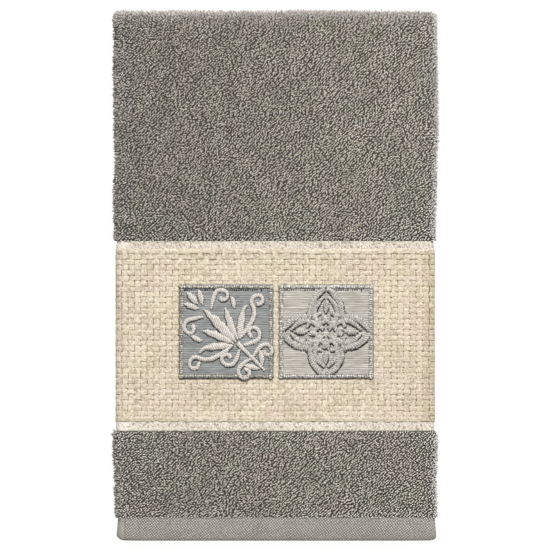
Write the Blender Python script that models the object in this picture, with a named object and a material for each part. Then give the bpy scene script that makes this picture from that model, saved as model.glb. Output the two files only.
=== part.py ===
"""A terry hand towel, folded and lying face up, with a linen band and two embroidered patches.

Both sides of the cloth are folded back to the middle, and then the whole is folded in half
across, so that four layers lie on each other. The front hem is towards -Y, the cross fold
towards +Y. Sizes are in millimetres until a body is finished. A height in the stack is measured
from the plane between its front half and its back half.
"""
from math import cos, pi, sin

import bmesh
import bpy

LENGTH = 330.0  # from the front hem to the cross fold: the cloth is 660 long
MIDDLE = 10.3  # from the ground to the plane between the two halves
FOLD_Y = LENGTH / 2 - MIDDLE
BACK_SHORT = 4.0  # the back hem lies this far inside the front one
SELVEDGE = 1.5  # from the middle of the towel to each flap's edge

# From a hem's edge: run, thickness, height of the panel, height of the flap, half width.
# Each is the middle of its layer, without half the thickness.
FRONT = (
    (0.0, 1.2, 6.3, 1.5, 96.8),
    (0.6, 2.1, 6.3, 1.5, 97.4),
    (2.0, 2.5, 6.4, 1.55, 97.65),
    (13.4, 2.5, 6.9, 1.8, 97.65),
    (13.9, 3.6, 7.1, 2.2, 98.6),
    (16.0, 4.3, 7.4, 2.5, 98.75),
    (28.0, 4.7, 7.95, 2.65, 98.75),
    (56.0, 4.7, 7.95, 2.65, 98.75),
    (66.5, 4.5, 7.85, 2.65, 98.7),
    (67.9, 3.9, 7.75, 2.65, 98.6),
    (68.1, 1.3, 7.1, 2.65, 96.75),
    (82.0, 1.3, 6.4, 2.65, 96.75),
    (172.4, 1.3, 6.4, 2.65, 96.75),
    (186.3, 1.3, 7.1, 2.65, 96.75),
    (186.5, 3.9, 7.75, 2.65, 98.6),
    (188.0, 4.5, 7.85, 2.65, 98.7),
    (200.0, 4.7, 7.95, 2.65, 98.75),
    (LENGTH - MIDDLE, 4.7, 7.95, 2.65, 98.75),
)
BACK = (
    (0.0, 1.2, 9.7, 3.2, 96.8),
    (0.6, 2.1, 9.25, 3.2, 97.4),
    (2.0, 2.5, 9.05, 3.3, 97.65),
    (13.4, 2.5, 9.05, 3.3, 97.65),
    (13.9, 3.6, 8.5, 3.0, 98.6),
    (16.0, 4.3, 8.15, 2.8, 98.75),
    (28.0, 4.7, 7.95, 2.65, 98.75),
    (LENGTH - MIDDLE - BACK_SHORT, 4.7, 7.95, 2.65, 98.75),
)
FRONT_STEP, BACK_STEP = 16.0, 44.0  # the longest stretch between two sections
FOLD_CUTS = 12  # round the cross fold
FLAP_CUTS, BEND_CUTS, PANEL_CUTS = 4, 8, 10  # across a flap, round a side fold, across the panel

APART = 0.3  # between pieces that are sewn on each other
LINEN_RUNS = (68.4, 69.0, 72.0, 72.5, 82.0, 105.0, 127.2, 149.4, 172.4, 181.9, 182.4, 185.4, 186.0)
LINEN_STRIP = 4.0  # the flat strip along each edge of the linen
LINEN, LINEN_EDGE = 1.2, 0.9

PATCH = 58.8
PATCH_MIDDLE_RUN = 129.9
LEAF_PATCH_X, SCROLL_PATCH_X = -30.3, 31.7
PATCH_CLOTH, PATCH_RIM, PATCH_RIM_WIDTH = 1.0, 0.7, 2.8

# How far each long edge lies outside its mean line: distance from the hem edge, left, right.
EDGES = (
    (0, -0.4, 0.5), (17, -1.2, 0.0), (40, -0.8, -0.7), (58, 0.3, 0.3), (75, 0.0, 0.2),
    (180, 0.0, 0.2), (192, -0.3, -1.0), (219, 0.3, -0.4), (233, -0.9, -0.2), (256, -0.2, 0.8),
    (290, 0.3, 0.3), (330, -0.3, -0.3),
)


def eased(t):
    return t * t * (3 - 2 * t)


def along(rows, run):
    """The other numbers of rows where their first is run, eased from row to row."""
    run = min(max(run, rows[0][0]), rows[-1][0])
    for low, high in zip(rows, rows[1:]):
        if run <= high[0]:
            t = eased((run - low[0]) / (high[0] - low[0]))
            return [a + (b - a) * t for a, b in zip(low[1:], high[1:])]


def runs_of(rows, step):
    """The runs of rows, with more between two that are over a step apart."""
    runs = [rows[0][0]]
    for low, high in zip(rows, rows[1:]):
        parts = 1 + int((high[0] - low[0]) / step)
        runs += [low[0] + (high[0] - low[0]) * i / parts for i in range(1, parts + 1)]
    return runs


def middle_line(panel, flap, width):
    """From the right selvedge round the front to the left one: x, height and outward normal."""
    radius = (panel - flap) / 2
    side = width - radius
    half = [(SELVEDGE + (side - SELVEDGE) * i / FLAP_CUTS, flap, 0, -1) for i in range(FLAP_CUTS)]
    for i in range(BEND_CUTS + 1):
        a = pi * i / BEND_CUTS
        half.append((side + radius * sin(a), (panel + flap) / 2 - radius * cos(a), sin(a), -cos(a)))
    half += [(side * (1 - 2 * i / PANEL_CUTS), panel, 0, 1) for i in range(1, PANEL_CUTS // 2)]
    return half + [(0, panel, 0, 1)] + [(-x, h, -nx, nh) for x, h, nx, nh in reversed(half)]


def settled(x, y, z):
    """A point of the stack once the towel lies as it does: a little uneven, and lower at its sides."""
    run = y + LENGTH / 2
    left, right = along(EDGES, run)
    across = abs(x) / 100
    moved = x + (right if x > 0 else -left) * min(across, 1) ** 3
    # the hem's corners are drawn back, the left one more
    corner = max(0, across - 0.93) / 0.07
    y += (3.2 if x < 0 else 1.6) * corner ** 2 * max(0, 1 - run / 9) ** 2
    # loops fill the left corner of the cross fold
    fill = max(0, -x - 93) / 8 * max(0, run - 316) / 14
    y += 0.35 * sin(x / 17) * sin(x / 41 + 1) * max(0, run - 250) / 80 + 1.3 * fill
    moved -= 1.3 * fill
    lift = 0.02 * sin(run / 37 + x / 60) * cos(x / 34 - 0.6) - 0.05 * min(across, 1) ** 4
    return moved, y, z * (1 + lift)


def stacked(x, height, y, turn):
    """A section's point where the section stands at y, turned by turn about the cross fold."""
    return settled(x, y + height * sin(turn), MIDDLE + height * cos(turn))


def swept(name, sections, material):
    """A closed body through sections, each a list of outer points and a list of inner points."""
    bm = bmesh.new()
    rings = [[bm.verts.new(p) for p in outer + inner[::-1]] for outer, inner in sections]
    for ring, following in zip(rings, rings[1:]):
        for i in range(len(ring)):
            j = (i + 1) % len(ring)
            bm.faces.new((ring[i], ring[j], following[j], following[i]))
    for ring in (rings[0], rings[-1]):
        last = len(ring) - 1
        for i in range(len(ring) // 2 - 1):
            bm.faces.new((ring[i], ring[i + 1], ring[last - i - 1], ring[last - i]))
    return body(name, bm, material)


def body(name, bm, material):
    bmesh.ops.recalc_face_normals(bm, faces=bm.faces)
    bmesh.ops.scale(bm, vec=(0.001, 0.001, 0.001), verts=bm.verts)
    mesh = bpy.data.meshes.new(name)
    bm.to_mesh(mesh)
    bm.free()
    mesh.materials.append(material)
    for face in mesh.polygons:
        face.use_smooth = True
    made = bpy.data.objects.new(name, mesh)
    bpy.context.scene.collection.objects.link(made)
    return made


def section(row, y, turn, inner=None, outer=None):
    """Outer and inner points of one section. Without offsets these are the towel's own faces."""
    thickness, panel, flap, width = row
    outer = thickness / 2 if outer is None else outer
    inner = -thickness / 2 if inner is None else inner
    line = middle_line(panel, flap, width)
    return [
        [stacked(x + nx * offset, h + nh * offset, y, turn) for x, h, nx, nh in line]
        for offset in (outer, inner)
    ]


def towel(material):
    """The one cloth: the front half up to the cross fold, the fold, and the back half under it."""
    sections = [
        section(along(FRONT, run), run - LENGTH / 2, 0) for run in runs_of(FRONT, FRONT_STEP)
    ]
    last = FRONT[-1][1:]
    sections += [section(last, FOLD_Y, pi * i / FOLD_CUTS) for i in range(1, FOLD_CUTS + 1)]
    sections += [
        section(along(BACK, run), run + BACK_SHORT - LENGTH / 2, pi)
        for run in reversed(runs_of(BACK, BACK_STEP)[:-1])
    ]
    return swept("towel", sections, material)


def linen_band(material):
    """Linen over the flat-woven stretch, round both side folds and out to the selvedges."""
    sections = []
    for run in LINEN_RUNS:
        row = along(FRONT, run)
        from_edge = min(run - LINEN_RUNS[0], LINEN_RUNS[-1] - run)
        thick = LINEN_EDGE if from_edge < LINEN_STRIP else LINEN
        under = row[0] / 2 + APART
        sections.append(section(row, run - LENGTH / 2, 0, under, under + thick))
    return swept("linen_band", sections, material)


def patch(name, middle_x, material):
    """A square of satin cloth with a raised, closely stitched rim."""
    thickness, panel, _, _ = along(FRONT, PATCH_MIDDLE_RUN)
    bottom = MIDDLE + panel + thickness / 2 + APART + LINEN + APART
    bm = bmesh.new()
    bmesh.ops.create_cube(bm, size=1)
    bmesh.ops.scale(bm, vec=(PATCH, PATCH, PATCH_CLOTH + PATCH_RIM), verts=bm.verts)
    top = max(bm.faces, key=lambda f: f.calc_center_median().z)
    rounded = [e for e in bm.edges if set(e.verts) & set(top.verts)]
    bmesh.ops.inset_region(bm, faces=[top], thickness=PATCH_RIM_WIDTH - 0.4, use_even_offset=True)
    bmesh.ops.inset_region(bm, faces=[top], thickness=0.4, use_even_offset=True)
    bmesh.ops.translate(bm, vec=(0, 0, -PATCH_RIM), verts=top.verts)
    bmesh.ops.bevel(bm, geom=rounded, offset=0.6, segments=2, profile=0.5, affect="EDGES")
    for axis in ((1, 0, 0), (0, 1, 0)):
        for place in (-0.25, 0, 0.25):
            cut = [c * place * PATCH for c in axis]
            everything = bm.verts[:] + bm.edges[:] + bm.faces[:]
            bmesh.ops.bisect_plane(bm, geom=everything, plane_co=cut, plane_no=axis)
    lift = bottom + (PATCH_CLOTH + PATCH_RIM) / 2
    for v in bm.verts:
        v.co = settled(v.co.x + middle_x, v.co.y + PATCH_MIDDLE_RUN - LENGTH / 2, v.co.z + lift)
    return body(name, bm, material)


def cloth(name, colour, roughness):
    material = bpy.data.materials.new(name)
    material.use_nodes = True
    shader = material.node_tree.nodes["Principled BSDF"]
    shader.inputs["Base Color"].default_value = (*colour, 1)
    shader.inputs["Roughness"].default_value = roughness
    return material


def centre_on_origin(bodies):
    """Puts the origin under the middle of the whole towel, on the ground."""
    points = [v.co for made in bodies for v in made.data.vertices]
    middle = [(min(p[k] for p in points) + max(p[k] for p in points)) / 2 for k in (0, 1)]
    ground = min(p.z for p in points)
    for made in bodies:
        for v in made.data.vertices:
            v.co.x -= middle[0]
            v.co.y -= middle[1]
            v.co.z -= ground


def main():
    for old in list(bpy.data.objects):
        bpy.data.objects.remove(old)
    centre_on_origin([
        towel(cloth("grey terry", (0.23, 0.21, 0.18), 0.95)),
        linen_band(cloth("cream linen", (0.70, 0.61, 0.47), 0.9)),
        patch("leaf_patch", LEAF_PATCH_X, cloth("slate satin", (0.31, 0.32, 0.31), 0.5)),
        patch("scroll_patch", SCROLL_PATCH_X, cloth("silver satin", (0.48, 0.46, 0.41), 0.5)),
    ])


main()
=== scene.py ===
"""The looks of the folded hand towel: terry, linen, embroidered patches, light and camera.

The folded shape repeats the part's own. Sizes are in millimetres until a point is put in the
frame. A place on the cloth is given by away, the distance round a section from the middle of the
panel, positive to the right, and by reach, the distance along the cloth from the front hem.
"""

from math import ceil, copysign, cos, pi, radians, sin
from random import Random

import bmesh
import bpy
import numpy
from mathutils import Matrix, Vector, noise


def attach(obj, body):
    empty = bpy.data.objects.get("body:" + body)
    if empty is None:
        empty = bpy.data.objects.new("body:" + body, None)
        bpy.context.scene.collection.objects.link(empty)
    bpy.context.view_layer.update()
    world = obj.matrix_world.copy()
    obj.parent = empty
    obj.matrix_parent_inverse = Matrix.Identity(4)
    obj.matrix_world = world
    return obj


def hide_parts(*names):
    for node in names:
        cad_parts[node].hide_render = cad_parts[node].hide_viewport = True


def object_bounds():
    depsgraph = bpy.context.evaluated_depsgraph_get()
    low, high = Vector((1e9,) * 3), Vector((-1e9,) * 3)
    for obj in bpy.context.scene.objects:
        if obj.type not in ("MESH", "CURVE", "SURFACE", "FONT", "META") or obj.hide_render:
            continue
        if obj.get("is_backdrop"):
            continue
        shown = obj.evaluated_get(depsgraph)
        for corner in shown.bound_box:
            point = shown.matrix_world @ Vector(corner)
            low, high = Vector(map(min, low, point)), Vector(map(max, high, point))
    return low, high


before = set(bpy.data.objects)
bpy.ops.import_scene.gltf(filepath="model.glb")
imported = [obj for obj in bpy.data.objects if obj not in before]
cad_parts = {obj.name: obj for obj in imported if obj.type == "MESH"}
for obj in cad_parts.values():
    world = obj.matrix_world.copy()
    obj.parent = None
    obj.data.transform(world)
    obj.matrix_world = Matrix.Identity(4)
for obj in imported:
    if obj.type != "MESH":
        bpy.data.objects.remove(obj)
cad_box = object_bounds()

MM = 0.001

# ---------------------------------------------------------------------------------------------
# The folded cloth, as in the part
# ---------------------------------------------------------------------------------------------

LENGTH = 330.0  # from the front hem to the cross fold
MIDDLE = 10.3  # from the ground to the plane between the two halves
BACK_SHORT = 4.0  # the back hem lies this far inside the front one
SELVEDGE = 1.5  # from the middle of the towel to each flap's edge
CENTRE = Vector((0.10514, 0.15750, 0))  # the middle of the whole towel

# From a hem's edge: run, thickness, height of the panel, height of the flap, half width.
FRONT = (
    (0.0, 1.2, 6.3, 1.5, 96.8),
    (0.6, 2.1, 6.3, 1.5, 97.4),
    (2.0, 2.5, 6.4, 1.55, 97.65),
    (13.4, 2.5, 6.9, 1.8, 97.65),
    (13.9, 3.6, 7.1, 2.2, 98.6),
    (16.0, 4.3, 7.4, 2.5, 98.75),
    (28.0, 4.7, 7.95, 2.65, 98.75),
    (56.0, 4.7, 7.95, 2.65, 98.75),
    (66.5, 4.5, 7.85, 2.65, 98.7),
    (67.9, 3.9, 7.75, 2.65, 98.6),
    (68.1, 1.3, 7.1, 2.65, 96.75),
    (82.0, 1.3, 6.4, 2.65, 96.75),
    (172.4, 1.3, 6.4, 2.65, 96.75),
    (186.3, 1.3, 7.1, 2.65, 96.75),
    (186.5, 3.9, 7.75, 2.65, 98.6),
    (188.0, 4.5, 7.85, 2.65, 98.7),
    (200.0, 4.7, 7.95, 2.65, 98.75),
    (LENGTH - MIDDLE, 4.7, 7.95, 2.65, 98.75),
)
BACK = (
    (0.0, 1.2, 9.7, 3.2, 96.8),
    (0.6, 2.1, 9.25, 3.2, 97.4),
    (2.0, 2.5, 9.05, 3.3, 97.65),
    (13.4, 2.5, 9.05, 3.3, 97.65),
    (13.9, 3.6, 8.5, 3.0, 98.6),
    (16.0, 4.3, 8.15, 2.8, 98.75),
    (28.0, 4.7, 7.95, 2.65, 98.75),
    (54.0, 4.7, 7.95, 2.65, 98.75),
    (66.0, 4.7, 7.95, 2.65, 95.4),  # drawn in a little under the linen
    (182.0, 4.7, 7.95, 2.65, 95.4),
    (194.0, 4.7, 7.95, 2.65, 98.75),
    (LENGTH - MIDDLE - BACK_SHORT, 4.7, 7.95, 2.65, 98.75),
)
# How far each long edge lies outside its mean line: distance from the hem edge, left, right. The
# pile's own outline wavers a little more than the part's.
EDGES = (
    (0, -0.4, 1.8), (17, -1.5, 0.6), (40, -1.1, -0.1), (58, 0.0, 0.9), (75, 0.5, 1.1),
    (180, 0.5, 1.1), (192, -0.9, -0.4), (219, -0.4, 0.2), (233, -1.5, 0.4), (256, -0.8, 1.4),
    (290, -0.4, 0.9), (330, -0.9, 0.3),
)

HALF_WIDE = 100.0  # about half the towel, from where its unevenness is measured
CORNER_START, CORNER_WIDE, CORNER_LONG = 0.93, 0.07, 9.0  # where the front corners are drawn up
CORNER_LEFT, CORNER_RIGHT = 3.2, 1.6  # by how much
FAR_CORNER = (93, 8, 316, 14)  # the far left corner starts this far aside and along, is this large
FAR_CORNER_OUT = 1.3  # how far it stands out
FOLD_WAVER, FOLD_WAVER_START, FOLD_WAVER_LONG = 0.35, 250, 80  # how uneven the cross fold is
SWELL, SIDE_DROP = 0.02, 0.05  # parts of the height: its slow swells, and how low its sides are

HEM_END, BAND_START, BAND_END = 13.9, 68.0, 186.4  # reaches where the pile stops and starts
FOLD_START = LENGTH - MIDDLE
FOLD_ARC = pi * 10.3  # round the outside of the cross fold
BACK_RUN = FOLD_START - BACK_SHORT
CLOTH_END = FOLD_START + FOLD_ARC + BACK_RUN
BEND_OUT = 1.6  # round a side fold, away is measured this far outside the layer's middle

PANEL_STEPS, BEND_STEPS, FLAP_STEPS = 12, 8, 3  # lines of points in half a section


def eased(t):
    t = min(max(t, 0), 1)
    return t * t * (3 - 2 * t)


def blend(low, high, t):
    return low + (high - low) * t


def along(rows, run):
    """The other numbers of rows where their first is run, eased from row to row."""
    run = min(max(run, rows[0][0]), rows[-1][0])
    for low, high in zip(rows, rows[1:]):
        if run <= high[0]:
            t = eased((run - low[0]) / (high[0] - low[0]))
            return [blend(a, b, t) for a, b in zip(low[1:], high[1:])]


def settled(x, y, z):
    """A point of the stack once the towel lies as it does: a little uneven, lower at its sides."""
    run = y + LENGTH / 2
    left, right = along(EDGES, run)
    across = abs(x) / HALF_WIDE
    moved = x + (right if x > 0 else -left) * min(across, 1) ** 3
    corner = max(0, across - CORNER_START) / CORNER_WIDE
    drawn_up = CORNER_LEFT if x < 0 else CORNER_RIGHT
    y += drawn_up * corner ** 2 * max(0, 1 - run / CORNER_LONG) ** 2
    aside, wide, ahead, long = FAR_CORNER
    fill = max(0, -x - aside) / wide * max(0, run - ahead) / long
    far = max(0, run - FOLD_WAVER_START)
    waver = FOLD_WAVER * sin(x / 17) * sin(x / 41 + 1) * far / FOLD_WAVER_LONG
    y += waver + FAR_CORNER_OUT * fill
    moved -= FAR_CORNER_OUT * fill
    swell = SWELL * sin(run / 37 + x / 60) * cos(x / 34 - 0.6)
    lift = swell - SIDE_DROP * min(across, 1) ** 4
    return (Vector((moved, y, z * (1 + lift))) - CENTRE) * MM


def section_at(reach):
    """The sizes of the section at this reach, its place along the towel and its turn."""
    if reach <= FOLD_START:
        return along(FRONT, reach), reach - LENGTH / 2, 0
    round_fold = (reach - FOLD_START) / FOLD_ARC
    if round_fold <= 1:
        return FRONT[-1][1:], FOLD_START - LENGTH / 2, pi * round_fold
    run = CLOTH_END - reach
    return along(BACK, run), run + BACK_SHORT - LENGTH / 2, pi


def bend_of(row):
    """The radius of a section's side fold, and how far away it starts and ends."""
    _, panel, flap, width = row
    radius = (panel - flap) / 2
    side = width - radius
    return radius, side, side + pi * (radius + BEND_OUT)


def on_cloth(away, reach, offset):
    """The point this far outside the middle of the cloth's layer."""
    row, y, turn = section_at(reach)
    radius, start, end = bend_of(row)
    if abs(away) <= start:
        x, height, out, up = abs(away), row[1], 0, 1
    elif abs(away) <= end:
        a = pi * (abs(away) - start) / (end - start)
        x, height = start + radius * sin(a), row[2] + radius * (1 + cos(a))
        out, up = sin(a), cos(a)
    else:
        x, height, out, up = start - (abs(away) - end), row[2], 0, -1
    x, height = copysign(x + out * offset, away), height + up * offset
    return settled(x, y + height * sin(turn), MIDDLE + height * cos(turn))


def away_of(row, line):
    """How far away a section's line of points is, counted from the middle of the panel."""
    _, start, end = bend_of(row)
    steps = abs(line)
    if steps <= PANEL_STEPS:
        away = start * steps / PANEL_STEPS
    elif steps <= PANEL_STEPS + BEND_STEPS:
        away = blend(start, end, (steps - PANEL_STEPS) / BEND_STEPS)
    else:
        away = end + (start - SELVEDGE) * (steps - PANEL_STEPS - BEND_STEPS) / FLAP_STEPS
    return copysign(away, line)


def folded_sheet(reaches, outer, inner):
    """Cloth over these reaches, with its outer and inner faces at the offsets that they give."""
    lines = PANEL_STEPS + BEND_STEPS + FLAP_STEPS
    ring = 4 * lines + 2
    steps = len(reaches) - 1
    bm = bmesh.new()
    line_of = bm.verts.layers.int.new("line")
    bmesh.ops.create_grid(bm, x_segments=ring, y_segments=steps, size=0.5)
    for v in bm.verts:
        place = round((v.co.x + 0.5) * ring) % ring
        step = round((v.co.y + 0.5) * steps)
        row = section_at(reaches[step])[0]
        inside = place > 2 * lines
        away = away_of(row, 3 * lines + 1 - place if inside else place - lines)
        offset = (inner if inside else outer)(row, away)
        v.co = on_cloth(away, reaches[step], offset)
        v[line_of] = 2 * step + inside
    bmesh.ops.remove_doubles(bm, verts=bm.verts, dist=1e-7)
    for first in (0, 2 * steps):
        rails = [
            e for e in bm.edges
            if e.verts[0][line_of] == e.verts[1][line_of] and e.verts[0][line_of] - first in (0, 1)
        ]
        bmesh.ops.bridge_loops(bm, edges=rails)
    bm.verts.layers.int.remove(line_of)
    return bm


# ---------------------------------------------------------------------------------------------
# Making pieces
# ---------------------------------------------------------------------------------------------

BAKE_MAP = "OFBake"
LIT = "lit"  # the attribute that says how far a point is out of the shade, from 0 to 1
CELL_FILL = 0.86  # how much of its cell in the map a copy fills
NEAR = 0.5  # how far off a second point is taken, for the cloth's direction at a first


def piece(name, bm, material, turned=True):
    """A piece of the towel from a finished bmesh. It rides with the whole towel."""
    if turned:
        bmesh.ops.recalc_face_normals(bm, faces=bm.faces)
    mesh = bpy.data.meshes.new(name)
    bm.to_mesh(mesh)
    bm.free()
    mesh.shade_smooth()
    mesh.materials.append(material)
    made = bpy.data.objects.new(name, mesh)
    bpy.context.scene.collection.objects.link(made)
    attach(made, "root")
    return made


def close_ends(bm):
    """Fills each open ring with a single face."""
    bmesh.ops.holes_fill(bm, edges=[e for e in bm.edges if e.is_boundary], sides=0)


def small_shape(name, bm):
    """A mesh that is copied many times, from open rings."""
    close_ends(bm)
    bmesh.ops.recalc_face_normals(bm, faces=bm.faces)
    mesh = bpy.data.meshes.new(name)
    bm.to_mesh(mesh)
    bm.free()
    return mesh


def tube(bm, points, ups, shape, sides, slant=0.0, lit=None):
    """Adds a tube along points. shape gives its place to the side and up, at a step and a turn.

    With a slant, what lies to one side is moved ahead and what lies to the other side back. lit
    gives how far a place is out of the shade, at a step and a turn.
    """
    light = bm.verts.layers.float.get(LIT) or bm.verts.layers.float.new(LIT)
    steps = len(points) - 1
    frames = []
    for i, point in enumerate(points):
        ahead = (points[min(i + 1, steps)] - points[max(i - 1, 0)]).normalized()
        side = ahead.cross(ups[i]).normalized()
        frames.append((point, side + ahead * slant, ups[i]))
    verts = bmesh.ops.create_grid(
        bm, x_segments=sides, y_segments=steps, size=0.5, calc_uvs=True
    )["verts"]
    for v in verts:
        step = round((v.co.y + 0.5) * steps)
        point, side, up = frames[step]
        turn = 2 * pi * (v.co.x + 0.5)
        across, high = shape(step, turn)
        v[light] = lit(step, turn) if lit else 1
        v.co = point + side * across + up * high
    bmesh.ops.remove_doubles(bm, verts=verts, dist=1e-7)


def copies(name, shapes, places, material):
    """One piece of many copies, none below the floor. places has each one's shape and matrix."""
    bm = bmesh.new()
    for number, matrix in places:
        shapes[number].transform(matrix)
        bm.from_mesh(shapes[number])
        shapes[number].transform(matrix.inverted())
    for v in bm.verts:
        v.co.z = max(v.co.z, 0)
    return piece(name, bm, material, turned=False)


def standing(away, reach, offset, angle):
    """Where a small shape stands on the cloth: its x along angle from the right, its z outwards."""
    point = on_cloth(away, reach, offset)
    right = (on_cloth(away + NEAR, reach, offset) - point).normalized()
    out = right.cross(on_cloth(away, reach + NEAR, offset) - point).normalized()
    ahead = right * cos(angle) + out.cross(right) * sin(angle)
    matrix = Matrix((ahead, out.cross(ahead), out)).transposed().to_4x4() @ Matrix.Scale(MM, 4)
    matrix.translation = point
    return matrix


def share_out(made, count):
    """Gives each of the copies its own cell of the map that keeps the baked colours."""
    loops = made.data.uv_layers[BAKE_MAP].uv
    places = numpy.empty(len(loops) * 2, numpy.float32)
    loops.foreach_get("vector", places)
    side = ceil(count ** 0.5)
    cells = numpy.stack((numpy.arange(count) % side, numpy.arange(count) // side), 1)
    places = places.reshape(count, -1, 2) * CELL_FILL + (1 - CELL_FILL) / 2
    loops.foreach_set("vector", ((places + cells[:, None]) / side).ravel())


# ---------------------------------------------------------------------------------------------
# Finishes
# ---------------------------------------------------------------------------------------------


class Wire:
    """An output in a material's nodes. Sums on it add Math nodes."""

    def __init__(self, socket):
        self.socket = socket

    def node(self, kind, settings, sockets, out=0):
        """Adds any node, its settings first, and gives one of its outputs."""
        made = self.socket.id_data.nodes.new(kind)
        for name, value in settings.items():
            setattr(made, name, value)
        for name, value in sockets.items():
            plug(made.inputs[name], value)
        return Wire(made.outputs[out])

    def sum(self, operation, first, second):
        return self.node("ShaderNodeMath", {"operation": operation}, {0: first, 1: second})

    def __add__(self, other):
        return self.sum("ADD", self, other)

    def __sub__(self, other):
        return self.sum("SUBTRACT", self, other)

    def __rsub__(self, other):
        return self.sum("SUBTRACT", other, self)

    def __mul__(self, other):
        return self.sum("MULTIPLY", self, other)

    __radd__, __rmul__ = __add__, __mul__

    def noise(self, scale, detail=2.0, stretch=(1, 1, 1)):
        """Clouds from 0 to 1 with this many to the metre, drawn out where stretch is under 1."""
        place = self.node("ShaderNodeVectorMath", {"operation": "MULTIPLY"}, {0: self, 1: stretch})
        return self.node(
            "ShaderNodeTexNoise", {}, {"Vector": place, "Scale": scale, "Detail": detail}
        )

    def waves(self, scale, direction, distortion=0.0):
        """Ridges from 0 to 1 across direction, this many to the metre."""
        place = self.node(
            "ShaderNodeVectorMath",
            {"operation": "DOT_PRODUCT"},
            {0: self, 1: [d * scale * 2 * pi for d in direction]},
            out="Value",
        )
        bent = place + self.noise(scale, 1) * distortion if distortion else place
        return bent.sum("SINE", bent, 0) * 0.5 + 0.5

    def part(self, axis):
        """One coordinate of a vector."""
        return self.node("ShaderNodeSeparateXYZ", {}, {0: self}, out=axis)

    def lit(self):
        """How far the surface is out of the shade."""
        return self.node("ShaderNodeAttribute", {"attribute_name": LIT}, {}, out="Fac")

    def stepped(self, low, high):
        """0 below low, 1 above high and eased between."""
        return self.node(
            "ShaderNodeMapRange",
            {"interpolation_type": "SMOOTHSTEP"},
            {"Value": self, "From Min": low, "From Max": high},
        )

    def mixed(self, dark, pale):
        """The colour dark where the value is 0, pale where it is 1."""
        return self.node(
            "ShaderNodeMix",
            {"data_type": "RGBA", "clamp_factor": True},
            {0: self, 6: dark, 7: pale},
            out=2,
        )


def plug(socket, value):
    if isinstance(value, Wire):
        socket.id_data.links.new(value.socket, socket)
    elif socket.type == "RGBA":
        socket.default_value = (*value, 1)
    else:
        socket.default_value = value


def finish(name, look, roughness, sheen=0.0, bump=0.0):
    """A cloth material. look takes the place on the object and gives its colour and its relief."""
    made = bpy.data.materials.new(name)
    made.use_nodes = True
    shader = made.node_tree.nodes["Principled BSDF"]
    place = Wire(made.node_tree.nodes.new("ShaderNodeTexCoord").outputs["Object"])
    colour, relief = look(place)
    plug(shader.inputs["Base Color"], colour)
    plug(shader.inputs["Roughness"], roughness)
    shader.inputs["Sheen Weight"].default_value = sheen
    shader.inputs["Sheen Roughness"].default_value = 0.5
    shader.inputs["Specular IOR Level"].default_value = 0.2
    sockets = {"Height": relief, "Strength": 1.0, "Distance": bump * MM}
    plug(shader.inputs["Normal"], place.node("ShaderNodeBump", {}, sockets))
    return made


def terry_look(place):
    """Grey cotton loops, painted shade at the foot, pale on top, painted light to the right, mauve
    at rims.
    """
    fibres = place.noise(2600, 2)
    tone = place.noise(620, 1).stepped(0.3, 0.7) * 0.35 + place.noise(36, 2) * 0.35 + fibres * 0.2
    across, up = place.part("X"), place.part("Y")
    # painted light: paler towards the right, with less shade at the feet there; also paler towards
    # the front hem
    paler = across.stepped(-0.11, 0.11)
    paler = paler + (0 - up).stepped(0.05, 0.10) * (1 - paler) * 0.5
    # the loops' tops: pink and green stretches, then the rims at the right, the fold and the left
    rim = across.stepped(0.093, 0.098) + up.stepped(0.1565, 0.1635)
    left_rim = (0 - across).stepped(0.086, 0.093)
    pale = place.noise(46, 1).stepped(0.4, 0.6).mixed((0.955, 0.865, 0.795), (0.88, 0.875, 0.74))
    pale = left_rim.mixed(rim.mixed(pale, (0.82, 0.765, 0.735)), (0.98, 0.905, 0.89))
    colour = (tone + paler * 0.17).stepped(0.07, 1.02).mixed((0.47, 0.445, 0.38), pale)
    # their feet, in the shade
    foot = paler.mixed((0.165, 0.147, 0.105), (0.275, 0.245, 0.18))
    # painted light: round the right side fold and the cross fold the feet are paler, where the
    # folds turn to the light
    foot = rim.mixed(foot, (0.30, 0.275, 0.258))
    return place.lit().stepped(0.0, 1.0).mixed(foot, colour), fibres


def ground_look(place):
    """The woven ground, painted dark for the loops' shade, and the hems: fine dotted twill in the
    same yarn.
    """
    threads = place.waves(900, (1, 0, 0)) * place.waves(900, (0, 1, 0))
    # painted shade: the ground under the loops is coloured dark for the shade they cast on it
    ground = threads.mixed((0.06, 0.056, 0.048), (0.14, 0.133, 0.115))
    across, run, high = place.part("X"), 0 - place.part("Y"), place.part("Z")
    # the twill, its dots faint beyond the crease near the left end, and painted shade along the
    # crease
    dots = place.waves(770, (0.8, 0.6, 0), 2.5) * place.waves(770, (0.6, -0.8, 0), 2.0)
    left_end = 1 - across.stepped(-0.0940, -0.0928)
    crease = across.stepped(-0.0941, -0.0935) - across.stepped(-0.0933, -0.0926)
    twill = dots.stepped(0.05, 0.6) * (1 - left_end * 0.6) + left_end * 0.3 - crease * 0.25
    tone = twill * 0.65 + place.noise(1300, 1).stepped(0.3, 0.7) * 0.25 + place.noise(90, 2) * 0.2
    # painted shade: the hems darker towards their edges, where they roll down
    pale = run.stepped(0.1525, 0.1655).mixed((0.60, 0.565, 0.505), (0.45, 0.425, 0.375))
    hem = tone.mixed((0.09, 0.086, 0.075), pale)
    # where the hems are: the front one in the upper half, the back one a little further in
    upper = high.stepped(0.010, 0.0105)
    front = run.stepped(0.1503, 0.1508) * upper
    back = run.stepped(0.1463, 0.1468) * (1 - upper)
    return (front + back).mixed(ground, hem), twill


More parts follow.
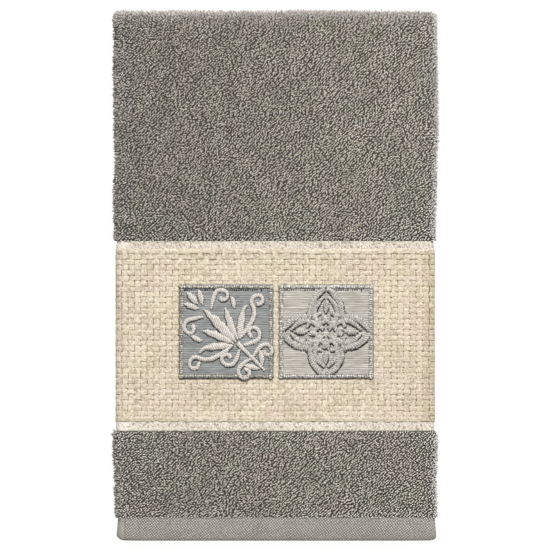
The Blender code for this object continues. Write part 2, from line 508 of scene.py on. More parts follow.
def linen_look(stretch):
    """Soft unbleached yarn, lumpy, its fibres along the yarn, with creamy, pink and tan lengths."""

    def look(place):
        fibres = place.noise(1500, 2, stretch)
        lumps = place.noise(820, 2)
        tint = place.noise(75, 1).stepped(0.35, 0.65)
        tint = tint.mixed((0.675, 0.61, 0.465), (0.69, 0.597, 0.495))
        tone = lumps.stepped(0.35, 0.65) * 0.6 + fibres.stepped(0.3, 0.7) * 0.3
        lengths = place.noise(170, 2, stretch).stepped(0.3, 0.7) * 0.3
        # painted shade: darker where the linen turns down round the right side fold
        edge = place.part("X").stepped(0.089, 0.097) * 0.3
        colour = (tone + lengths - edge).mixed((0.36, 0.29, 0.20), tint)
        # the seams: the tan of the gaps along the yarns' edges, and painted shade on their shaded
        # side
        seam = (0.27, 0.19, 0.08)
        return place.lit().stepped(0.15, 0.95).mixed(seam, colour), fibres * 0.5 + lumps

    return look


def linen_ground_look(place):
    """Tan with painted shade between the yarns, and the pale flat strips along the linen's edges.
    """
    run = place.part("Y")
    strip = (0 - run).stepped(0.0903, 0.0908) + run.stepped(0.0153, 0.0158)
    dashes = place.waves(480, (0.8, 0.6, 0), 14.0) * place.noise(700, 2)
    tone = dashes * 0.7 + place.noise(1300, 2).stepped(0.3, 0.7) * 0.6 + place.noise(60, 1) * 0.3
    tone = tone + (0 - place.part("X")).stepped(0.088, 0.094) * 0.4  # painted light at the left, against the side fold's shade
    specks = place.noise(620, 1).stepped(0.58, 0.66) * 0.9
    pale = (tone - specks).mixed((0.34, 0.29, 0.22), (0.75, 0.69, 0.61))
    tan = place.noise(500, 2).mixed((0.34, 0.25, 0.13), (0.60, 0.48, 0.30))
    return strip.mixed(tan, pale), tone


EVEN, MOTTLED = (0.3, 0.7), (0.44, 0.6)  # the part of its clouds that a thread's tones come from
SHADE_BETWEEN = 0.5  # the painted shade between stitches, as a part of the darkest tone on them
ALONG_RIBS = (0.12, 1, 1)


def satin_look(dark, pale, stretch=(1, 1, 1), span=EVEN):
    """Shiny threads of an uneven tone, drawn out where stretch is under 1, painted shade between
    them.
    """

    def look(place):
        fine = place.noise(1700, 2, stretch)
        tone = fine.stepped(*span) * 0.45 + place.noise(750, 2, stretch).stepped(*span) * 0.45
        colour = (tone + place.noise(110, 1) * 0.2).mixed(dark, pale)
        return place.lit().stepped(0.3, 0.95).mixed([c * SHADE_BETWEEN for c in dark], colour), fine

    return look


TERRY = finish("grey terry loops", terry_look, 0.95, sheen=0.2, bump=0.12)
GROUND = finish("grey woven ground and hems", ground_look, 0.92, bump=0.15)
SEWING = finish(
    "grey sewing thread", satin_look((0.12, 0.115, 0.10), (0.34, 0.32, 0.285)), 0.6, bump=0.05
)
WARP = finish("linen warp", linen_look((1, 0.2, 1)), 0.9, sheen=0.1, bump=0.3)
WEFT = finish("linen weft", linen_look((0.2, 1, 1)), 0.9, sheen=0.1, bump=0.3)
LINEN_GROUND = finish("linen strips", linen_ground_look, 0.9, bump=0.2)


def thread(name, dark, pale, roughness, stretch=(1, 1, 1), span=EVEN):
    """A finish of shiny thread, from its darkest and its palest tone."""
    return finish(name, satin_look(dark, pale, stretch, span), roughness, bump=0.13)


SLATE = thread("slate satin", (0.115, 0.122, 0.12), (0.34, 0.35, 0.34), 0.5, ALONG_RIBS)
SLATE_RIM = thread(
    "slate rim thread", (0.028, 0.023, 0.015), (0.73, 0.69, 0.60), 0.5, span=MOTTLED
)
PEARL = thread("pearl embroidery thread", (0.34, 0.305, 0.27), (0.76, 0.71, 0.65), 0.45)
SILVER = thread("silver satin", (0.24, 0.222, 0.19), (0.56, 0.53, 0.47), 0.45, ALONG_RIBS)
SILVER_RIM = thread(
    "silver rim thread", (0.06, 0.054, 0.046), (0.88, 0.84, 0.775), 0.45, span=MOTTLED
)
SILVER_THREAD = thread("silver embroidery thread", (0.11, 0.102, 0.09), (0.67, 0.64, 0.585), 0.4)
# The dark threads below the strokes and beside the rims: thread and painted shadow in one.
BLACK_SHADE = thread("black outline thread and painted shadow", (0.01, 0.01, 0.011), (0.06, 0.06, 0.063), 0.8)
DARK_SHADE = thread("dark grey outline thread and painted shadow", (0.04, 0.039, 0.035), (0.15, 0.143, 0.13), 0.8)
SLATE_SHADE = thread("slate outline thread and painted shadow", (0.12, 0.118, 0.113), (0.27, 0.267, 0.26), 0.8)
SILVER_SHADE = thread("silver outline thread and painted shadow", (0.12, 0.112, 0.10), (0.36, 0.34, 0.31), 0.8)

# ---------------------------------------------------------------------------------------------
# Terry
# ---------------------------------------------------------------------------------------------

PILE_FOOT = 0.65  # the ground cloth's outer face, where the loops stand
HEM_THICK, PILE_GROWS = 2.5, 1.1  # the hem, and how much thicker the cloth is once it has pile
FLAT_FROM, FLAT_OVER, FLAT_SUNK = 0.7, 0.3, 0.15  # parts of a side fold; then it is pressed flat
SIDE = 106.0  # round the side fold, as far away as the loops show


def steps_between(start, end, step):
    """Even steps of about this length, the last one left out."""
    parts = max(1, round((end - start) / step))
    return [blend(start, end, i / parts) for i in range(parts)]


def make_cloth():
    """The ground cloth, whole from hem to hem, with the flat hems at its ends."""
    # rows of points: close at the hems, where the thickness changes and round the cross fold
    fold_end = FOLD_START + FOLD_ARC
    reaches = [0.0, 0.25, 0.6, 1.2, 2.0]
    reaches += steps_between(2.6, 13.4, 1.2) + [13.4, 13.6, 13.9]
    reaches += steps_between(15, 66, 6) + [66.0, 67.9, 68.1]
    reaches += steps_between(74, 180, 6) + [180.0, 186.3, 186.5]
    reaches += steps_between(190, FOLD_START, 6) + steps_between(FOLD_START, fold_end, 2)
    reaches += steps_between(fold_end, CLOTH_END - 16, 9)
    reaches += [CLOTH_END - run for run in (16, 13.9, 13.6, 13.4, 8, 2, 1.2, 0.6, 0.25, 0)]

    def outer(row, away):
        # under the towel the pile is pressed flat, and the ground stands in for most of it
        thick = row[0]
        _, start, end = bend_of(row)
        under = eased(((abs(away) - start) / (end - start) - FLAT_FROM) / FLAT_OVER)
        top = blend(thick / 2, PILE_FOOT, eased((thick - HEM_THICK) / PILE_GROWS))
        return blend(top, max(top, thick / 2 - FLAT_SUNK), under)

    def inner(row, away):
        return -row[0] / 2

    return piece("towel_cloth", folded_sheet(reaches, outer, inner), GROUND)


# A loop of yarn from root to root: along in parts of its length, aside in parts of its curl, up,
# and its radius.
TUFT = (
    ((-0.44, 0.4, -0.25), 0.34),
    ((0.02, -0.3, 1.42), 0.45),
    ((0.52, 0.3, -0.20), 0.34),
)
TUFT_SIDES = 3
TUFT_LENGTH, TUFT_CURL = (1.4, 2.1), (-0.6, 0.6)
TUFT_TOP = 1.5  # where a loop is fully out of the shade
TUFT_KINDS = 6


def make_tuft(random):
    """One loop of yarn: it rises along its x and goes down again, a little curled."""
    length, curl = random.uniform(*TUFT_LENGTH), random.uniform(*TUFT_CURL)
    points = [Vector((x * length, y * curl, z)) for (x, y, z), _ in TUFT]
    last = len(points) - 1
    aheads = [points[min(i + 1, last)] - points[max(i - 1, 0)] for i in range(last + 1)]
    ups = [Vector((-a.z, 0, a.x)).normalized() for a in aheads]
    bm = bmesh.new()
    bm.loops.layers.uv.new(BAKE_MAP)
    tube(bm, points, ups, lambda i, a: (TUFT[i][1] * sin(a), TUFT[i][1] * cos(a)), TUFT_SIDES)
    return small_shape("tuft", bm)


# The loops' directions at the left and at the right: the mean, its drift and its unevenness.
LEAN_LEFT, LEAN_RIGHT = (28, 60, 15), (36, 45, 12)
LEAN_CLOUDS = 8


def lean(away, reach, random):
    """The direction of a loop: more alike on the right, more mixed on the left."""
    right = eased((away + 90) / 150)
    mean, drift, uneven = (blend(a, b, right) for a, b in zip(LEAN_LEFT, LEAN_RIGHT))
    drift *= noise.noise(Vector((away / LEAN_CLOUDS, reach / LEAN_CLOUDS, 0)))
    return radians(mean + drift + random.gauss(0, uneven))


# From loop to loop in a row, from row to row, and the loops' size.
FRONT_PILE, BACK_PILE = (1.95, 0.92, 0.95), (2.8, 2.1, 1.15)
PILE_WANDER, PILE_CLOUDS = (1.0, 0.9), 11  # how far loops drift along a row and across, together
PILE_JITTER = 0.34, 0.22  # and how far each one does by itself
PILE_EDGE = 4  # this close to a pile's ends its rows run straighter and less shade is painted on its loops
PILE_SUNK = 0.1  # how far the loops are moved into the ground
SIZE_RANGE = 0.85, 1.12
RIGHT_SIDE = 90  # away from here on is the right side fold
STRAY_SHARE, STRAY_LEFT, STRAY_RIGHT = 0.5, 1.42, 1.2  # the larger loops round the side folds
# How far loops are out of the shade: the mean, its spread, the distance in which that loses one
# towards the right, and its spread round the side folds.
MEAN_LIT, SPREAD, SPREAD_LOSS, FOLD_SPREAD = 1.02, 0.48, 1500, 0.85
# And in parts of that: round the left fold and the right one, lost on the far side of the cross
# fold, and at a pile's ends.
LEFT_LIT, RIGHT_LIT, FAR_LOSS, ENDS_LIT = 0.42, 0.75, 0.3, 1.35


def make_pile(name, aways, reaches, sizes, seed):
    """Loops all over a stretch of the cloth, in rows that wander as woven ones do."""
    across, down, size = sizes
    random = Random(seed)
    places, lits = [], []
    in_row = round((aways[1] - aways[0]) / across)
    for row in range(round((reaches[1] - reaches[0]) / down)):
        for i in range(in_row):
            away = blend(*aways, (i + 0.25 + 0.5 * (row % 2)) / in_row)
            reach = reaches[0] + (row + 0.5) * down
            inside = min(reach - reaches[0], reaches[1] - reach, PILE_EDGE) / PILE_EDGE
            wander = noise.noise_vector(Vector((away / PILE_CLOUDS, reach / PILE_CLOUDS, 3)))
            away += PILE_WANDER[0] * wander.x + random.gauss(0, PILE_JITTER[0])
            reach += PILE_WANDER[1] * wander.y * inside + random.gauss(0, PILE_JITTER[1])
            on_right = away > RIGHT_SIDE
            place = standing(away, reach, PILE_FOOT - PILE_SUNK, lean(away, reach, random))
            level = abs(place.col[2].z) / MM
            stray = 1
            if level < 0.5 and random.random() < STRAY_SHARE:
                stray = STRAY_RIGHT if on_right else STRAY_LEFT
            scale = Matrix.Scale(size * stray * random.uniform(*SIZE_RANGE), 4)
            places.append((random.randrange(TUFT_KINDS), place @ scale))
            shade_spread = blend(FOLD_SPREAD, SPREAD - away / SPREAD_LOSS, level)
            lit = random.uniform(MEAN_LIT - shade_spread, MEAN_LIT + shade_spread)
            lit *= blend(RIGHT_LIT if on_right else LEFT_LIT, 1, level)
            lit *= 1 - FAR_LOSS * max(place.col[2].y / MM, 0)
            lits.append(lit * blend(ENDS_LIT, 1, inside))
    made = copies(name, TUFTS, places, TERRY)
    share_out(made, len(places))
    heights = [numpy.array([v.co.z / TUFT_TOP for v in tuft.vertices]) for tuft in TUFTS]
    values = [heights[number] * lit for (number, _), lit in zip(places, lits)]
    made.data.attributes[LIT].data.foreach_set("value", numpy.concatenate(values))
    return made


HEM_SEAMS = 10.6, 12.2  # how far from the hem's edge the two rows of stitches run
SEAM_STITCH, SEAM_PITCH = 1.5, 2.3
STITCH_ARCH = (-0.5, -0.15), (-0.25, 0.12), (0.25, 0.12), (0.5, -0.15)  # in parts of its length; up
STITCH_WIDE, STITCH_THICK = 0.22, 0.16


def make_hem_stitches():
    """Two rows of small stitches along each hem."""
    bm = bmesh.new()
    points = [Vector((x * SEAM_STITCH, 0, z)) for x, z in STITCH_ARCH]
    ups = [Vector((0, 0, 1))] * len(points)
    tube(bm, points, ups, lambda i, a: (STITCH_WIDE * cos(a), STITCH_THICK * sin(a)), 4)
    stitch = small_shape("stitch", bm)
    random = Random(9)
    places = []
    for reach in HEM_SEAMS + tuple(CLOTH_END - run for run in HEM_SEAMS):
        for i in range(round(2 * SIDE / SEAM_PITCH)):
            away = -SIDE + (i + 0.5) * SEAM_PITCH
            places.append((0, standing(away, reach, HEM_THICK / 2, radians(random.gauss(0, 5)))))
    return copies("hem_stitches", [stitch], places, SEWING)


cloth = make_cloth()
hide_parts("towel")

noise.seed_set(1)  # noise_vector would otherwise differ from run to run
shape_random = Random(7)
TUFTS = [make_tuft(shape_random) for _ in range(TUFT_KINDS)]
FOLD_TOP = FOLD_START + FOLD_ARC / 2
PILE_START, PILE_END = HEM_END + 0.5, CLOTH_END - HEM_END - 0.4
terry = [
    make_pile("pile_top_left", (-SIDE, 0), (BAND_END, FOLD_TOP), FRONT_PILE, 1),
    make_pile("pile_top_right", (0, SIDE), (BAND_END, FOLD_TOP), FRONT_PILE, 2),
    make_pile("pile_below_band", (-SIDE, SIDE), (PILE_START, BAND_START), FRONT_PILE, 3),
    make_pile("pile_back_left", (-SIDE, 0), (FOLD_TOP, PILE_END), BACK_PILE, 5),
    make_pile("pile_back_right", (0, SIDE), (FOLD_TOP, PILE_END), BACK_PILE, 6),
    make_hem_stitches(),
]

# ---------------------------------------------------------------------------------------------
# Linen
# ---------------------------------------------------------------------------------------------

LINEN_RUNS = (
    68.12, 69.0, 72.0, 72.5, 82.0, 105.0, 127.2, 149.4, 172.4, 181.9, 182.4, 185.6, 186.28,
)
LINEN_GAP, LINEN_THICK = 0.3, 0.6
WEAVE_START, WEAVE_END = 73.8, 181.5
WEFTS = 32
WEFT_PITCH = (WEAVE_END - WEAVE_START) / WEFTS
WARP_PITCH, WARPS_ASIDE = 3.87, 27
WEAVE_HIGH, WEAVE_SWING = 1.7, 0.08
YARN_THICK = 0.36
YARN_WIDE, YARN_RANGE = 1.03, (0.92, 1.06)  # in parts of the pitch, and how uneven
YARN_WANDER, SLUB = 0.35, 0.3  # how far a yarn strays aside, how much its lumps swell
RING_JITTER, RISE_JITTER = 0.03, 0.02  # of the rings, in parts of a crossing, and of their height
# A yarn's outline: aside in parts of half its width, up in parts of half its thickness.
YARN_PROFILE = ((1, 0), (0.66, 1), (-0.66, 1), (-1, 0), (-0.66, -1), (0.66, -1))
SEAM_LIT = 0.1, 0.8  # how pale a yarn is along its shaded edge and along the other
SEAM_RANGE, SEAM_DRIFT = 0.25, 1.6  # how uneven that is, and how much it comes and goes
OUTERMOST_LIT = 0.8  # how much paler the outermost yarns' seams are
RIGHT_SEAMS = 170  # to the right the seams are darker, by one in this distance
FOLD_SEAM_START, FOLD_SEAMS = 88, 15  # from here on they are paler again, by one in that distance
# Where a yarn's rings are at each crossing, and how much of the swing they have.
CROSSING = (-0.36, 0.75), (0.0, 1.1), (0.36, 0.75)


def make_linen():
    """The linen's ground, with a flat strip along each edge."""

    def outer(row, away):
        return row[0] / 2 + LINEN_GAP + LINEN_THICK

    def inner(row, away):
        return row[0] / 2 + LINEN_GAP

    return piece("linen_cloth", folded_sheet(LINEN_RUNS, outer, inner), LINEN_GROUND)


def make_yarns(name, is_warp, material, lines, crossings, place, seed):
    """Flat soft yarns, lumpy and of uneven width, that go over and under the crossing ones.

    place gives the point that is here across the yarn and along it, at this offset.
    """
    random = Random(seed)
    pitch = WARP_PITCH if is_warp else WEFT_PITCH
    step_long = crossings[1] - crossings[0]
    seam_lit = SEAM_LIT if is_warp else SEAM_LIT[::-1]
    bm = bmesh.new()
    for number, line in enumerate(lines):
        points, ups, widths, sags, seams = [], [], [], [], []
        for step, crossing in enumerate(crossings):
            side = 1 if (number + step + is_warp) % 2 else -1
            for part, swing in CROSSING:
                at = crossing + (part + random.gauss(0, RING_JITTER)) * step_long
                wander = YARN_WANDER * noise.noise(Vector((number * 7.3, at / 7, seed)))
                rise = WEAVE_SWING * side * swing + random.gauss(0, RISE_JITTER)
                at_end = step == 0 and part < 0 or step == len(crossings) - 1 and part > 0
                offset = WEAVE_HIGH + (-YARN_THICK if at_end else rise)
                middle = line + wander
                point = place(middle, at, offset)
                points.append(point)
                ups.append((place(middle, at, offset + NEAR) - point).normalized())
                slub = 1 + SLUB * noise.noise(Vector((number * 3.1, at / 4, seed + 5)))
                widths.append(YARN_WIDE * pitch * slub * random.uniform(*YARN_RANGE))
                half = widths[-1] / 2
                edges = place(middle - half, at, offset) + place(middle + half, at, offset)
                sags.append((edges / 2 - point).dot(ups[-1]))
                # the seams' tone: tan gaps, painted darker along the side away from the light
                seam = OUTERMOST_LIT if number in (0, len(lines) - 1) else 0
                right = line if is_warp else at
                seam -= max(right, 0) / RIGHT_SEAMS
                seam += max(right - FOLD_SEAM_START, 0) / FOLD_SEAMS
                drifts = [
                    SEAM_DRIFT * noise.noise(Vector((number * 5.3 + 2.6 * aside, at / 5, seed + 9)))
                    for aside in (0, 1)
                ]
                seams.append([
                    seam + pale + random.uniform(-SEAM_RANGE, SEAM_RANGE) - drift
                    for pale, drift in zip(seam_lit, drifts)
                ])

        def shape(i, a):
            side, up = YARN_PROFILE[round(a * 3 / pi) % 6]
            return widths[i] / 2 * side * MM, YARN_THICK / 2 * up * MM + sags[i] * side * side

        def lit(i, a):
            return seams[i][cos(a) > 0] if abs(cos(a)) > 0.9 else 1

        tube(bm, points, ups, shape, len(YARN_PROFILE), lit=lit)
    close_ends(bm)
    return piece(name, bm, material)


def on_weft(reach, away, offset):
    """on_cloth for a yarn that runs across."""
    return on_cloth(away, reach, offset)


linen = make_linen()
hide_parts("linen_band")
warps = [WARP_PITCH * i for i in range(-WARPS_ASIDE, WARPS_ASIDE + 1)]
wefts = [WEAVE_START + WEFT_PITCH * (i + 0.5) for i in range(WEFTS)]
yarns = [
    make_yarns("linen_warp", True, WARP, warps, wefts, on_cloth, 1),
    make_yarns("linen_weft", False, WEFT, wefts, warps, on_weft, 2),
]
for made in [linen] + yarns:
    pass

# ---------------------------------------------------------------------------------------------
# Patches
# ---------------------------------------------------------------------------------------------

PATCH = 58.8
PATCH_REACH = 129.9
LEAF_PATCH_X, SCROLL_PATCH_X = -30.3, 31.7
PANEL_HIGH, PANEL_HALF = 6.4, 0.65  # under the linen: the layer's middle, half its thickness
YARNS_HIGH, PRESSED = 1.2, 0.05  # the linen with its yarns, and how far the patch sinks in
PATCH_BOTTOM = MIDDLE + PANEL_HIGH + PANEL_HALF + LINEN_GAP + YARNS_HIGH - PRESSED
RIM_FOOT, RIM_HIGH = 0.4, 1.55  # above the bottom of the patch
GROUND_FOOT, GROUND_HIGH, GROUND_INSIDE = 0.05, 0.75, 1.2
RIB_PITCH, RIB_HIGH, RIB_WAVER = 1.4, 0.14, 1.6
# how far the ribs are out of the shade: painted shade in their valleys
RIB_LIT, RIB_LIT_RANGE = 0.9, 0.27
THREAD = 0.35  # from ring to ring along a stroke
# The low rings between stitches are painted darker too, as shade.
STITCH = (0.5, 0.95, 1.0, 0.92)  # how high the rings of one satin stitch are
STITCH_NARROW, STITCH_UNDER = 0.88, 0.2  # its width at no height, how far its edges go down


def on_patch(bm, middle_x, name, material):
    """A piece from a bmesh in a patch's own millimetres, up from its bottom."""
    for v in bm.verts:
        v.co = settled(
            v.co.x + middle_x, v.co.y + PATCH_REACH - LENGTH / 2, v.co.z + PATCH_BOTTOM
        )
    return piece(name, bm, material)


def make_patch_ground():
    """A square of ribbed cloth, its ribs a little wavy, with painted shade in their valleys."""
    bm = bmesh.new()
    size = PATCH - GROUND_INSIDE
    ribs = round(size / RIB_PITCH)
    light = bm.verts.layers.float.new(LIT)
    bmesh.ops.create_grid(bm, x_segments=32, y_segments=ribs * 4, size=size / 2)
    for v in bm.verts:
        waver = RIB_WAVER * noise.noise(Vector((v.co.x / 8, v.co.y / 3, 0)))
        turn = (v.co.y / size + 0.5) * ribs * 2 * pi + waver
        v.co.z = GROUND_HIGH + RIB_HIGH * cos(turn)
        v[light] = RIB_LIT + RIB_LIT_RANGE * cos(turn)
    for made in bmesh.ops.extrude_face_region(bm, geom=bm.faces[:])["geom"]:
        if isinstance(made, bmesh.types.BMVert):
            made.co.z = GROUND_FOOT
    # extruding leaves the walls in an order that differs from run to run
    bm.faces.sort(key=lambda face: face.calc_center_median().dot(Vector((1, 100, 10000))))
    return bm


def satin(bm, points, widths, base, high, sides=8, slant=0.0, rough=0.1):
    """A satin-stitched bar along points: low rounds side by side, with uneven ends."""
    random = Random(len(points))
    stitches = [[random.uniform(1 - rough, 1 + rough) for _ in range(3)] for _ in points]
    ups = [Vector((0, 0, 1))] * len(points)

    def shape(i, a):
        left, right, tall = stitches[i // len(STITCH)]
        swell = STITCH[i % len(STITCH)]
        half = widths[i] / 2 * (left if cos(a) < 0 else right) * blend(STITCH_NARROW, 1, swell)
        return half * cos(a), base + max(sin(a), -STITCH_UNDER) * high * swell * tall

    def lit(i, a):
        return STITCH[i % len(STITCH)]

    tube(bm, points, ups, shape, sides, slant, lit)


# The rim's four sides from the top on, clockwise: its middle line from the patch's middle and its
# width.
RIM = ((27.9, 2.3), (27.7, 2.1), (27.65, 2.0), (27.75, 2.2))
RIM_ROUGH, RIM_INSIDE = 0.24, 0.25  # how uneven its stitches are, how far inside the patch it ends
# The darker lines are painted shadows, below the top side and below the bottom side.
# The dark thread and painted shade beside it: side, middle line, width, whether it is the darker
# one.
RIM_SHADES = (
    (0, 28.95, 1.1, False), (0, 26.2, 2.1, True), (1, 28.85, 1.3, False), (1, 26.4, 0.8, False),
    (2, 28.55, 1.0, True), (2, 26.1, 0.9, False), (3, 28.75, 0.9, False), (3, 26.5, 0.6, False),
)
SHADE_ROUGH, SHADE_INSIDE = 0.3, 0.3
SHADE_OUTER_HIGH, SHADE_INNER_HIGH = 0.4, 0.55
RAGGED, SOFT_RAGGED = 0.9, 0.4  # how uneven the darker lines' width is, the other ones' part of it


def side_of_square(number, away, reach):
    """Points along one side of a square, this far from its middle and this far each way."""
    turn = Matrix.Rotation(-number * pi / 2, 3, "Z")
    count = round(2 * reach / THREAD)
    return [turn @ Vector((blend(-reach, reach, i / count), away, 0)) for i in range(count + 1)]


def make_rim():
    """The closely stitched rim."""
    bm = bmesh.new()
    for number, (away, width) in enumerate(RIM):
        points = side_of_square(number, away, PATCH / 2 - RIM_INSIDE)
        widths = [width] * len(points)
        satin(bm, points, widths, RIM_FOOT, RIM_HIGH - RIM_FOOT, rough=RIM_ROUGH)
    close_ends(bm)
    return bm


def make_rim_shade(darker):
    """One tone of the dark thread and painted shade beside the rim, outside and inside it."""
    bm = bmesh.new()
    for number, away, width, dark in RIM_SHADES:
        if dark != darker:
            continue
        points = side_of_square(number, away, min(away, PATCH / 2 - SHADE_INSIDE))
        widths = []
        for p in points:
            ragged = 1 + RAGGED * noise.noise(Vector((p.x / 3, p.y / 3, number)))
            widths.append(width * (ragged if dark else blend(1, ragged, SOFT_RAGGED)))
        high = SHADE_INNER_HIGH if away < RIM[number][0] else SHADE_OUTER_HIGH
        satin(bm, points, widths, RIM_FOOT, high, sides=6, rough=SHADE_ROUGH)
    close_ends(bm)
    return bm


def stroke(x, y, heading, *bends):
    """Points along a line that starts at x, y towards heading. Each bend is a length and a turn."""
    points = [Vector((x, y, 0))]
    for length, turn in bends:
        count = max(2, round(length / THREAD))
        for _ in range(count):
            heading += turn / count / 2
            step = Vector((cos(radians(heading)), sin(radians(heading)), 0)) * (length / count)
            points.append(points[-1] + step)
            heading += turn / count / 2
    return points


def spread_out(values, count):
    """Values eased out over count points."""
    out = []
    for i in range(count):
        place = i / (count - 1) * (len(values) - 1)
        low = min(int(place), len(values) - 2)
        out.append(blend(values[low], values[low + 1], eased(place - low)))
    return out


# Each stroke: x, y, heading, bends (length, turn), widths; x runs up the spray's own axis.
SPRAY_MIDDLE = (
    (-34.0, 0, 0, ((24, 0),), (1.4, 2.6, 2.4, 3.2)),
    (-9, 0, 0, ((29, 0),), (1.2, 5.2, 6.8, 6.2, 3.6, 0.8)),
    (24.5, 0, 0, ((10, 0),), (1.0, 4.4, 4.2, 0.8)),
)
SPRAY_TWINS = (
    (-8.5, 2.8, 92, ((15, -24), (9, -50), (9, 130), (9, 190)), (1.8, 3.0, 3.0, 2.8, 2.6, 2.4, 3.0)),
    (-9, 3.0, 46, ((17, 10), (5, 60)), (1.2, 4.0, 5.2, 4.6, 2.6, 1.6)),
    (-8.5, 1.8, 16, ((21, 14),), (1.2, 3.8, 4.8, 4.0, 1.2)),
    (-13.5, 2.0, 126, ((8, -20), (10, -130), (9, -190)), (2.0, 3.0, 2.8, 2.4, 3.0)),
    (-23, 1.0, 64, ((9, 36), (9, 130), (8, 180)), (1.8, 2.9, 2.8, 2.4, 3.0)),
    (-31, 1.2, 38, ((10, -8),), (0.8, 3.6, 3.8, 0.8)),
    (16.5, 3.4, 52, ((9, 10), (10, 130), (8, 180)), (1.6, 2.9, 2.8, 2.4, 3.0)),
    (22.0, 1.6, 30, ((10, -4),), (0.8, 3.6, 3.6, 0.8)),
    (6.5, 14.0, 40, ((8, -30),), (0.7, 3.2, 3.0, 0.6)),
)
MEDALLION_MIDDLE = (
    (0, 11.5, 90, ((8.5, 0),), (0.8, 3.8, 3.8, 0.8)),
)
MEDALLION_TWINS = (
    (0.6, 26.6, -26, ((11, -40), (13, -36)), (2.6, 4.2, 4.4, 3.6, 1.4)),
    (0.8, 21.8, -34, ((9, -34), (9, -62), (8, -200)), (1.6, 3.2, 3.4, 3.0, 3.6)),
    (2.0, 0.7, 62, ((7, -30), (7, -130)), (1.2, 2.7, 2.6, 2.2)),
    (7.6, 7.6, 45, ((7, 0),), (0.8, 3.4, 3.2, 0.8)),
)

# The dark thread under a stroke is moved down, so that it shows as its painted shadow.
# How much wider than a stroke the dark thread under it is, how far to the right, its foot above
# the patch's ground and its height.
OUTLINE, OUTLINE_RIGHT, OUTLINE_FOOT, OUTLINE_HIGH = 0.5, 0.12, 0.08, 0.22
THREAD_SLANT, THREAD_ROUGH = 0.45, 0.12  # of the embroidery's stitches


def make_embroidery(strokes, high, below):
    """The satin-stitched strokes, and the dark thread, their painted shadow, along their lower
    edges.
    """
    threads, shade = bmesh.new(), bmesh.new()
    for matrix, (x, y, heading, bends, widths) in strokes:
        points = [matrix @ p for p in stroke(x, y, heading, *bends)]
        wide = spread_out(widths, len(points))
        satin(threads, points, wide, GROUND_HIGH, high, slant=THREAD_SLANT, rough=THREAD_ROUGH)
        lower = [p + Vector((OUTLINE_RIGHT, -below, 0)) for p in points]
        wider = [w + OUTLINE for w in wide]
        satin(shade, lower, wider, GROUND_HIGH + OUTLINE_FOOT, OUTLINE_HIGH, sides=4)
    close_ends(threads)
    close_ends(shade)
    return threads, shade


def placed(middle, twins, turn, mirror):
    """Every stroke with its matrix: the middle ones once, the twins on both sides of the mirror."""
    turned = Matrix.Rotation(turn, 3, "Z")
    both = turned, turned @ Matrix.Diagonal(mirror)
    return [(turned, s) for s in middle] + [(matrix, s) for s in twins for matrix in both]


def spray_strokes():
    """The spray: its axis runs up to the left."""
    return placed(SPRAY_MIDDLE, SPRAY_TWINS, radians(135), (1, -1, 1))


def medallion_strokes():
    """The medallion: four like quarters."""
    quarters = [
        placed(MEDALLION_MIDDLE, MEDALLION_TWINS, quarter * pi / 2, (-1, 1, 1))
        for quarter in range(4)
    ]
    return [s for quarter in quarters for s in quarter]


def make_patch(name, middle_x, finishes, strokes, high, below):
    """A patch, its embroidery this high and its outline, a painted shadow, this far below it.

    The finishes: ground, rim, embroidery, its outline, the rim's dark lines and its softer ones.
    """
    ground, rim, stitching, outlining, dark, soft = finishes
    base = on_patch(make_patch_ground(), middle_x, name + "_ground", ground)
    threads, outline = make_embroidery(strokes, high, below)
    parts = [
        on_patch(make_rim(), middle_x, name + "_rim", rim),
        on_patch(make_rim_shade(True), middle_x, name + "_rim_shade", dark),
        on_patch(make_rim_shade(False), middle_x, name + "_rim_edge", soft),
        on_patch(threads, middle_x, name + "_embroidery", stitching),
        on_patch(outline, middle_x, name + "_outline", outlining),
    ]
    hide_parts(name)


SLATE_FINISHES = SLATE, SLATE_RIM, PEARL, SLATE_SHADE, BLACK_SHADE, SLATE_SHADE
SILVER_FINISHES = SILVER, SILVER_RIM, SILVER_THREAD, DARK_SHADE, DARK_SHADE, SILVER_SHADE
make_patch(
    "leaf_patch", LEAF_PATCH_X, SLATE_FINISHES, spray_strokes(), 0.7, 0.38
)
make_patch(
    "scroll_patch", SCROLL_PATCH_X, SILVER_FINISHES, medallion_strokes(), 0.6, 0.7
)

# ---------------------------------------------------------------------------------------------
# Floor, light and camera
# ---------------------------------------------------------------------------------------------

VIEW_WIDTH = 0.3415  # what the photograph takes in, at the height of the towel's face
FACE_HIGH = 0.0205
CAMERA_HIGH = 3.0
SENSOR = 36.0
FLOOR_GREY, FLOOR_GLOW = 0.12, 0.95  # it glows, so that only a faint shade shows on it
FLOOR_HALF = 2
# The key light: where it stands, how far off, its size and its power.
KEY_AZIMUTH, KEY_ELEVATION, KEY_AWAY, KEY_SIZE, KEY_POWER = 76, 46, 4.0, 0.8, 222
SKY = 0.4  # the strength of the even light from all round


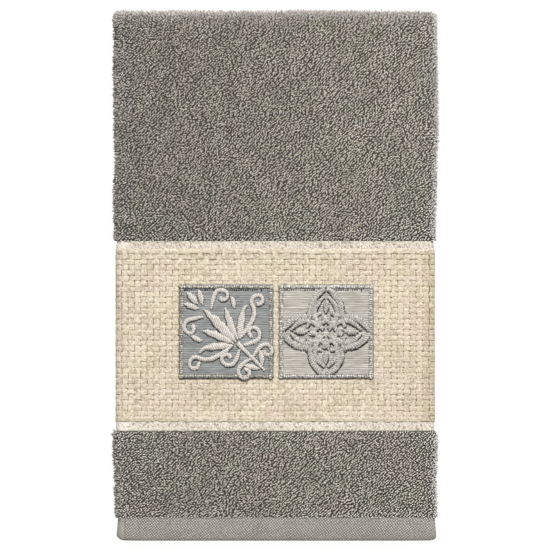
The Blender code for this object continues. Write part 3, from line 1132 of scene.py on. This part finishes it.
def make_floor():
    """The white ground that the towel lies on."""
    made = bpy.data.materials.new("white floor")
    made.use_nodes = True
    shader = made.node_tree.nodes["Principled BSDF"]
    shader.inputs["Base Color"].default_value = (FLOOR_GREY, FLOOR_GREY, FLOOR_GREY, 1)
    shader.inputs["Roughness"].default_value = 0.9
    shader.inputs["Emission Color"].default_value = (1, 1, 1, 1)
    shader.inputs["Emission Strength"].default_value = FLOOR_GLOW
    bm = bmesh.new()
    bmesh.ops.create_grid(bm, x_segments=1, y_segments=1, size=FLOOR_HALF)
    mesh = bpy.data.meshes.new("floor")
    bm.to_mesh(mesh)
    bm.free()
    mesh.materials.append(made)
    floor = bpy.data.objects.new("floor", mesh)
    bpy.context.scene.collection.objects.link(floor)
    floor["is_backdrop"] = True


def make_key_light():
    """A soft square lamp that looks at the towel from beyond its cross fold."""
    lamp = bpy.data.lights.new("key", "AREA")
    lamp.size, lamp.energy = KEY_SIZE, KEY_POWER
    made = bpy.data.objects.new("key", lamp)
    a, e = radians(KEY_AZIMUTH), radians(KEY_ELEVATION)
    made.location = Vector((cos(a) * cos(e), sin(a) * cos(e), sin(e))) * KEY_AWAY
    made.rotation_euler = made.location.to_track_quat("Z", "Y").to_euler()
    bpy.context.scene.collection.objects.link(made)


def make_sky():
    """Even white light from all round."""
    world = bpy.data.worlds.new("studio")
    world.use_nodes = True
    background = world.node_tree.nodes["Background"]
    background.inputs["Color"].default_value = (1, 1, 1, 1)
    background.inputs["Strength"].default_value = SKY
    bpy.context.scene.world = world


def make_camera():
    """The camera straight above, far enough off to look almost square on."""
    lens = bpy.data.cameras.new("camera")
    lens.sensor_width = SENSOR
    lens.lens = SENSOR * (CAMERA_HIGH - FACE_HIGH) / VIEW_WIDTH
    lens.clip_start, lens.clip_end = 0.05, 20
    made = bpy.data.objects.new("camera", lens)
    made.location = (0, 0, CAMERA_HIGH)
    bpy.context.scene.collection.objects.link(made)
    bpy.context.scene.camera = made


make_floor()
make_key_light()
make_sky()
make_camera()
bpy.context.scene.view_settings.view_transform = "Standard"

[[list(corner) for corner in box] for box in (cad_box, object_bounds())]
